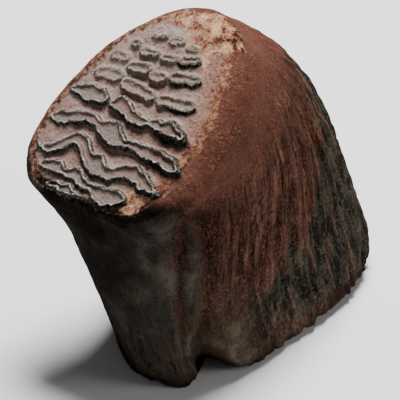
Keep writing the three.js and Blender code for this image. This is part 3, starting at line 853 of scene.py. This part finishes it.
class Shader:
    """Short calls for making and joining shader nodes."""

    def __init__(self, name):
        self.material = bpy.data.materials.new(name)
        self.material.use_nodes = True
        self.tree = self.material.node_tree
        self.tree.nodes.clear()

    def node(self, kind, inputs=(), **settings):
        node = self.tree.nodes.new("ShaderNode" + kind)
        for name, value in settings.items():
            setattr(node, name, value)
        for name, value in dict(inputs).items():
            if isinstance(value, bpy.types.NodeSocket):
                self.tree.links.new(value, node.inputs[name])
            else:
                node.inputs[name].default_value = value
        return node

    def attribute(self, name, kind="Fac"):
        return self.node("Attribute", attribute_name=name).outputs[kind]

    def scaled(self, vector, scale):
        return self.node("VectorMath", {0: vector, 1: scale}, operation="MULTIPLY").outputs[0]

    def noise(self, vector, size, detail=3.0, roughness=0.55, distortion=0.0):
        return self.node("TexNoise", {"Vector": vector, "Scale": 1 / size, "Detail": detail,
                                      "Roughness": roughness, "Distortion": distortion}).outputs["Fac"]

    def math(self, operation, a, b=0.0):
        return self.node("Math", {0: a, 1: b}, operation=operation).outputs[0]

    def times(self, *factors):
        total = factors[0]
        for factor in factors[1:]:
            total = self.math("MULTIPLY", total, factor)
        return total

    def window(self, value, low, high, to_low=0.0, to_high=1.0):
        """Smooth step of a value from low to high."""
        return self.node("MapRange", {"Value": value, "From Min": low, "From Max": high, "To Min": to_low,
                                      "To Max": to_high}, interpolation_type="SMOOTHSTEP").outputs[0]

    def ramp(self, value, *stops):
        node = self.node("ValToRGB", {"Fac": value})
        elements = node.color_ramp.elements
        while len(elements) < len(stops):
            elements.new(0.5)
        for element, (place, *shade) in zip(elements, stops):
            element.position = place
            element.color = tone(*shade)
        return node.outputs["Color"]

    def mix(self, share, a, b):
        """Mixes two colours, each a socket or three display values."""
        a, b = (tone(*v) if isinstance(v, tuple) else v for v in (a, b))
        return self.node("Mix", {0: share, 6: a, 7: b}, data_type="RGBA").outputs[2]

    def lay(self, colour, over, *shares):
        """Lays a colour over another, as strong as the product of the shares."""
        return self.mix(self.times(*shares), colour, over)

    def tint(self, colour, value, low, high, most, over):
        """Lays a colour over another, from nothing where value is low to most where it is high."""
        return self.lay(colour, over, self.window(value, low, high, 0, most))

    def rest(self, share):
        return self.math("SUBTRACT", 1.0, share)

    def sway(self, value, amount):
        """Noise round zero, of an amount from one end to the other."""
        return self.times(self.math("SUBTRACT", value, 0.5), amount)

    def veins(self, *settings):
        """Noise that falls to 0 along winding lines."""
        return self.math("ABSOLUTE", self.math("SUBTRACT", self.noise(*settings), 0.5))


def cap_colour(s, n):
    """Smooth cement: red-brown, cloudy, with a fine grain."""
    colour = s.ramp(n.broad, (0.3, 69, 40, 31), (0.5, 87, 52, 42), (0.7, 102, 66, 54))
    colour = s.tint(colour, n.blotch, 0.45, 0.7, 0.5, (60, 30, 19))
    sandy = s.window(n.blotch, 0.4, 0.62, 0.25, 1.0)
    colour = s.lay(colour, (142, 100, 80), sandy, s.window(n.fine, 0.53, 0.66, 0, 0.5))
    colour = s.tint(colour, n.fine, 0.46, 0.36, 0.4, (38, 20, 14))
    return s.tint(colour, n.crack, 0.016, 0.003, 0.3, (30, 15, 11))


def grit(s, n, colour, light, dark):
    """Pale and dark fibres, grains and cracks over a colour."""
    colour = s.tint(colour, n.fibre, 0.54, 0.68, 0.4, light)
    colour = s.tint(colour, n.fine, 0.54, 0.67, 0.4, light)
    colour = s.tint(colour, n.fibre, 0.46, 0.34, 0.55, dark)
    colour = s.tint(colour, n.fine, 0.46, 0.35, 0.65, dark)
    return s.tint(colour, n.crack, 0.02, 0.004, 0.7, dark)


def wall_colour(s, mask, n):
    """Ribbed wall: red-brown on the ribs, dark between them, greyer and paler towards the foot."""
    rib = s.ramp(n.streak, (0.4, 50, 32, 25), (0.5, 76, 48, 38), (0.64, 110, 74, 60))
    gap = s.ramp(n.streak, (0.35, 21, 13, 10), (0.6, 39, 25, 19), (0.75, 60, 41, 32))
    colour = s.lay(rib, gap, mask.valley, 0.9)
    quiet = s.ramp(n.blotch, (0.36, 32, 16, 11), (0.52, 45, 25, 17), (0.68, 63, 38, 28))
    colour = s.lay(colour, quiet, mask.calm, s.window(mask.valley, 1.0, 0.2, 0.35, 0.8))
    foot = s.ramp(n.blotch, (0.4, 43, 36, 32), (0.55, 71, 61, 54), (0.7, 94, 81, 71))
    colour = s.lay(colour, foot, mask.foot, s.window(n.streak, 0.42, 0.6, 0.2, 0.85))
    high = s.ramp(n.streak, (0.4, 62, 36, 27), (0.52, 90, 57, 45), (0.68, 118, 80, 65))
    colour = s.lay(colour, high, mask.high, s.window(mask.valley, 1.0, 0.2, 0.3, 0.8))
    # Painted shade: the first ribs behind the root grow darker upwards, into the shade under the cap's
    # overhang.
    colour = s.lay(colour, (22, 12, 9), mask.calm, s.window(n.up, 0.08, 0.1, 0.05, 0.35))
    low_calm = s.times(mask.calm, mask.calm, s.window(n.up, 0.1, 0.075, 0, 0.4))
    colour = s.mix(low_calm, colour, (78, 57, 49))
    colour = s.tint(colour, n.grain, 0.49, 0.4, 0.5, (27, 17, 13))
    colour = s.tint(colour, n.grain, 0.56, 0.66, 0.35, (134, 98, 78))
    return grit(s, n, colour, (116, 78, 60), (15, 8, 6))


def stain_colour(s, n):
    """Dark mineral stain: green-black, greyer on patches of the ribs."""
    colour = s.ramp(n.blotch, (0.36, 11, 11, 9), (0.52, 31, 30, 26), (0.66, 66, 63, 54))
    colour = s.tint(colour, n.streak, 0.5, 0.6, 0.6, (68, 64, 53))
    colour = s.tint(colour, n.streak, 0.46, 0.38, 0.6, (9, 9, 8))
    colour = s.tint(colour, n.grain, 0.54, 0.64, 0.5, (92, 86, 71))
    return grit(s, n, colour, (100, 90, 72), (6, 5, 4))


def root_colour(s, mask, n):
    """Root: smooth slate dark, brown in its grooves, and painted shade that makes it near black on its front
    face and under the rim.
    """
    colour = s.ramp(n.blotch, (0.38, 33, 29, 25), (0.5, 54, 49, 43), (0.62, 78, 72, 64))
    colour = s.tint(colour, n.broad, 0.45, 0.62, 0.4, (54, 51, 47))
    colour = s.tint(colour, n.streak, 0.52, 0.66, 0.6, (69, 54, 46))
    colour = s.tint(colour, n.fibre, 0.46, 0.34, 0.6, (15, 12, 10))
    colour = s.tint(colour, n.scratch, 0.012, 0.003, 0.5, (14, 10, 8))
    colour = s.tint(colour, n.fine, 0.54, 0.7, 0.4, (86, 77, 65))
    low = s.window(n.up, 0.06, 0.02)
    colour = s.lay(colour, (76, 68, 60), low, 0.6)
    colour = s.lay(colour, (62, 44, 37), low, s.window(n.streak, 0.5, 0.6, 0, 0.7))
    colour = s.lay(colour, (14, 13, 10), low, s.window(n.streak, 0.46, 0.38, 0, 0.7))
    colour = s.lay(colour, (98, 84, 68), low, s.window(n.grain, 0.58, 0.68, 0, 0.6))
    flecks = s.times(s.window(n.up, 0.1, 0.03), s.window(n.blotch, 0.5, 0.6))
    colour = s.lay(colour, (112, 100, 84), flecks, s.window(n.speck, 0.52, 0.6, 0, 0.6))
    colour = s.lay(colour, (12, 9, 7), mask.split, 0.7)
    groove = s.ramp(n.streak, (0.4, 30, 19, 14), (0.6, 62, 42, 32))
    groove = s.tint(groove, n.fine, 0.56, 0.66, 0.6, (112, 88, 68))
    colour = s.lay(colour, groove, mask.valley, 0.95)
    # Painted shade over the slate on the front face, blackest high up under the rim.
    front = s.ramp(n.blotch, (0.35, 10, 8, 6), (0.6, 21, 18, 15), (0.75, 36, 32, 28))
    front = s.tint(front, n.up, 0.1, 0.13, 0.85, (4, 3, 2))
    front = s.tint(front, n.scratch, 0.012, 0.003, 0.5, (36, 29, 23))
    return s.lay(colour, front, mask.front, 0.92)


def cement_colour(s, mask, n):
    """Worn cement between the plates: warm grey, pinker in clouds and at the near edge, pale at the back."""
    colour = s.ramp(n.broad, (0.35, 132, 107, 97), (0.55, 147, 125, 116), (0.7, 158, 140, 132))
    colour = s.tint(colour, n.blotch, 0.48, 0.66, 0.6, (130, 99, 87))
    near = s.times(mask.pale, s.window(mask.chew, 20.0, 2.0))
    colour = s.lay(colour, (136, 99, 84), near, 0.85)
    back = s.times(s.window(n.up, 0.088, 0.1), s.window(mask.chew, 1.0, 4.0))
    colour = s.lay(colour, (164, 152, 144), back, 0.8)
    colour = s.tint(colour, n.fine, 0.46, 0.36, 0.45, (84, 66, 57))
    return s.tint(colour, n.fine, 0.56, 0.68, 0.4, (180, 162, 150))


def plate_colour(s, mask, n, depth, ground):
    """Enamel plates: pale crest; dark wall outside it, the enamel's own dark with painted shadow, widest in
    front and at the near end; painted shade at the crest's foot and grey dentine inside it.
    """
    lean = s.math("DIVIDE", depth, mask.lean)
    dentine = s.ramp(n.blotch, (0.35, 124, 98, 87), (0.6, 126, 114, 108))
    dentine = s.tint(dentine, n.fine, 0.46, 0.36, 0.4, (78, 68, 62))
    dentine = s.lay(dentine, (142, 122, 111), mask.short, 0.7)
    colour = s.mix(s.window(depth, 1.1, 1.8), ground, dentine)
    # Painted shade at the foot of the crest, inside the plate.
    foot = s.times(s.window(depth, 1.1, 1.4), s.window(depth, 2.4, 1.4, 0, 0.6))
    foot = s.times(foot, s.rest(s.times(mask.short, 0.5)))
    colour = s.mix(foot, colour, (54, 47, 42))
    # Dark wall outside the crest: the enamel's own dark, with painted shadow that widens with the wall's
    # lean, in front and most at the near end, where it is blackest.
    dark = s.ramp(n.fine, (0.42, 7, 7, 5), (0.52, 20, 20, 16), (0.64, 66, 65, 56))
    soft = s.ramp(n.fine, (0.4, 26, 25, 21), (0.5, 56, 54, 47), (0.62, 104, 101, 90))
    dark = s.mix(s.window(mask.lean, 1.8, 0.9), dark, soft)
    outer = s.times(s.window(lean, -1.7, -0.8), s.window(depth, 0.3, 0.1))
    low = s.times(mask.short, s.window(mask.lean, 1.7, 0.9, 0, 0.8))
    colour = s.lay(colour, dark, outer, s.rest(low))
    bright = s.ramp(s.noise(n.place, 0.003, 4, 0.7), (0.38, 56, 54, 49), (0.48, 118, 115, 110),
                    (0.6, 166, 165, 164))
    crest = s.times(s.window(depth, 0.05, 0.3), s.window(depth, 1.15, 0.85))
    colour = s.lay(colour, bright, crest, s.rest(mask.short))
    husk = s.ramp(n.fine, (0.4, 58, 56, 48), (0.5, 112, 108, 96), (0.6, 142, 138, 126))
    ring = s.times(s.window(depth, -0.7, -0.3), s.window(depth, 1.2, 0.8, 0.15, 0.85))
    ring = s.times(ring, s.window(depth, 3.2, 2.2))
    return s.lay(colour, husk, ring, mask.short)


def patch_colour(s, n, rim):
    """Flaked patch: light tan with brown pits, browner where it runs down the side."""
    flake = s.math("ADD", s.noise(n.place, 0.006, 6, 0.8), s.window(rim, -14.0, 0.0, -0.07, 0.01))
    return s.ramp(flake, (0.38, 44, 24, 16), (0.44, 112, 72, 53), (0.5, 154, 112, 90), (0.6, 186, 148, 122))


def side_colour(s, mask, n):
    """The side: ribbed wall, cap, stain, root, painted shade under the cap, a pale tint partly painted light
    on the lobe and the groove's foot, and the broken lower edge.
    """
    colour = wall_colour(s, mask, n)
    colour = s.mix(mask.cap, colour, cap_colour(s, n))
    showing = s.times(s.window(mask.valley, 0.4, 0.05), s.window(n.streak, 0.49, 0.58, 0, 0.85))
    stained = s.times(mask.dark, s.rest(showing))
    colour = s.mix(stained, colour, stain_colour(s, n))
    colour = s.mix(mask.root, colour, root_colour(s, mask, n))
    # Painted shade under the cap's lower edge.
    colour = s.lay(colour, (34, 19, 13), mask.brow, 0.75)
    # Pale yellow-grey tint on the lobe, partly painted light, and painted light at the rear groove's foot.
    dust = s.ramp(n.blotch, (0.35, 54, 48, 42), (0.55, 80, 71, 60), (0.72, 112, 102, 82))
    dust = s.tint(dust, n.fine, 0.46, 0.36, 0.5, (24, 19, 15))
    colour = s.lay(colour, dust, mask.dust, 0.8)
    broken = s.ramp(n.blotch, (0.35, 22, 16, 13), (0.6, 41, 31, 26), (0.75, 68, 54, 45))
    return s.lay(colour, broken, mask.broken, 0.75)


def band_colour(s, mask, n):
    """Band along the rim: peach at the near edge, flaky brown beyond it, black at the front."""
    peach = s.ramp(n.grain, (0.42, 98, 58, 42), (0.52, 132, 90, 70), (0.62, 156, 114, 92))
    peach = s.tint(peach, n.up, 0.034, 0.014, 0.7, (86, 55, 42))
    flaky = s.ramp(n.grain, (0.42, 56, 36, 28), (0.52, 110, 77, 63), (0.62, 150, 116, 98))
    black = s.ramp(n.grain, (0.5, 10, 8, 6), (0.58, 34, 25, 20), (0.68, 120, 100, 84))
    # The black follows the front mask: the black lip, and the painted shade of the root's front carried over
    # the rim.
    flaky = s.mix(mask.front, flaky, black)
    return s.mix(mask.pale, flaky, peach)


def tooth_colour(s, mask, n):
    """From the side over the band along the rim to the grey worn surface, its plates and its patches."""
    colour = side_colour(s, mask, n)
    rim = s.math("ADD", mask.chew, s.sway(n.blotch, 16.0))  # ragged millimetres inside the rim
    rim = s.math("ADD", rim, s.sway(n.grain, 7.0))
    band = band_colour(s, mask, n)
    colour = s.mix(s.window(rim, -7.0, -3.5), colour, band)
    ground = s.mix(s.window(rim, -2.0, 2.0), colour, cement_colour(s, mask, n))
    depth = s.math("ADD", mask.plate, s.sway(n.fine, 0.6))
    colour = plate_colour(s, mask, n, depth, ground)
    bare = s.window(s.math("DIVIDE", depth, mask.lean), -1.0, -1.6)
    colour = s.mix(s.times(mask.patch, bare), colour, patch_colour(s, n, rim))

    # Specks and grime
    light = s.mix(mask.root, (128, 98, 76), (76, 69, 58))
    scattered = s.times(s.window(n.speck, 0.58, 0.68, 0, 0.5), s.window(n.blotch, 0.42, 0.6))
    colour = s.mix(scattered, colour, light)
    return s.tint(colour, n.grain, 0.42, 0.28, 0.6, (16, 11, 8))


def surface_noise(s, place, flow):
    """Noises in space, and noises drawn out up the plates along their own grain."""
    return SimpleNamespace(
        place=place,
        up=s.node("SeparateXYZ", {"Vector": flow}).outputs["Y"],
        broad=s.noise(place, 0.045, 3),
        blotch=s.noise(place, 0.014, 4),
        grain=s.noise(place, 0.0022, 4, 0.65),
        fine=s.noise(place, 0.0012, 3, 0.65),
        speck=s.noise(s.scaled(flow, (1, 0.4, 1)), 0.0011, 2, 0.6, 1.5),
        fibre=s.noise(s.scaled(flow, (1, 0.09, 1)), 0.0011, 4, 0.65, 0.6),
        streak=s.noise(s.scaled(flow, (1, 0.14, 1)), 0.0048, 3, 0.6, 0.8),
        scratch=s.veins(s.scaled(flow, (0.3, 1.3, 1)), 0.011, 3, 0.6, 1.2),
        crack=s.veins(s.scaled(flow, (1, 0.1, 1)), 0.0055, 3, 0.6, 1.0),
    )


def tooth_material():
    s = Shader("fossil_tooth")
    place = s.node("TexCoord").outputs["Object"]
    flow = s.attribute("flow", "Vector")
    mask = SimpleNamespace(**{name: s.attribute(name) for name in MASKS})
    n = surface_noise(s, place, flow)
    threads = s.times(n.fibre, s.math("SUBTRACT", 0.6, s.times(mask.cap, 0.55)))
    relief = s.math("ADD", s.times(n.grain, 0.6), threads)
    relief = s.math("ADD", relief, s.times(n.fine, 0.5))
    strength = s.rest(s.times(mask.root, 0.5))
    bumps = s.node("Bump", {"Height": relief, "Distance": 0.0011, "Strength": strength})
    shine = s.math("SUBTRACT", s.window(n.grain, 0.3, 0.7, 0.68, 0.86), s.times(mask.root, 0.2))
    shine = s.math("ADD", shine, s.times(s.math("MAXIMUM", mask.front, mask.valley), 0.4))
    surface = s.node("BsdfPrincipled", {"Base Color": tooth_colour(s, mask, n), "Roughness": shine,
                                        "Specular IOR Level": 0.03, "Normal": bumps.outputs["Normal"]})
    s.node("OutputMaterial", {"Surface": surface.outputs["BSDF"]})
    return s.material


# --- Floor, light and camera ---

def plain_material(name, colour, roughness):
    s = Shader(name)
    surface = s.node("BsdfPrincipled", {"Base Color": colour, "Roughness": roughness})
    s.node("OutputMaterial", {"Surface": surface.outputs["BSDF"]})
    return s.material


def area_light(name, place, target, size, watts):
    data = bpy.data.lights.new(name, "AREA")
    data.shape = "DISK"
    data.size = size
    data.energy = watts
    light = add_object(name, data)
    light.location = place
    light.rotation_euler = (Vector(target) - Vector(place)).to_track_quat("-Z", "Y").to_euler()


AZIMUTH, ELEVATION = math.radians(-51.5), math.radians(32.2)
DISTANCE = 6.0  # metres
LENS, FILM = 1093, 36
# The camera aims at the lobe's foot, moved by these millimetres to the right and up in its own view.
LOBE_FOOT = np.array([55.0, -45.5, 0.0])
AIM_RIGHT, AIM_UP = -17.3, 82.5

tooth = make_tooth()
tooth.data.materials.append(tooth_material())
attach(tooth, "root")
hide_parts(NODE)

bpy.ops.mesh.primitive_plane_add(size=6, location=(0, 0, -0.0002))
floor = bpy.context.object
floor.name = "floor"
floor.data.materials.append(plain_material("pale_floor", (0.82, 0.82, 0.82, 1), 0.9))

world = bpy.data.worlds.new("studio")
world.use_nodes = True
world.node_tree.nodes["Background"].inputs["Color"].default_value = (1, 1, 1, 1)
world.node_tree.nodes["Background"].inputs["Strength"].default_value = 0.1
bpy.context.scene.world = world

area_light("key", (0.3, 0.15, 1.3), (0, 0, 0.08), 0.55, 46)
area_light("side", (0.5, -1.1, 0.5), (0, 0, 0.07), 0.6, 5)

right = np.array([math.cos(AZIMUTH), math.sin(AZIMUTH), 0])
forward = np.array([-math.sin(AZIMUTH) * math.cos(ELEVATION), math.cos(AZIMUTH) * math.cos(ELEVATION),
                    -math.sin(ELEVATION)])
above = np.cross(right, forward)
aim = (LOBE_FOOT - BOX_CENTRE + AIM_RIGHT * right + AIM_UP * above) * MM
camera_data = bpy.data.cameras.new("camera")
camera_data.lens = LENS
camera_data.sensor_width = FILM
camera = add_object("camera", camera_data)
camera.location = aim - forward * DISTANCE
camera.rotation_euler = Vector(forward).to_track_quat("-Z", "Y").to_euler()
bpy.context.scene.camera = camera
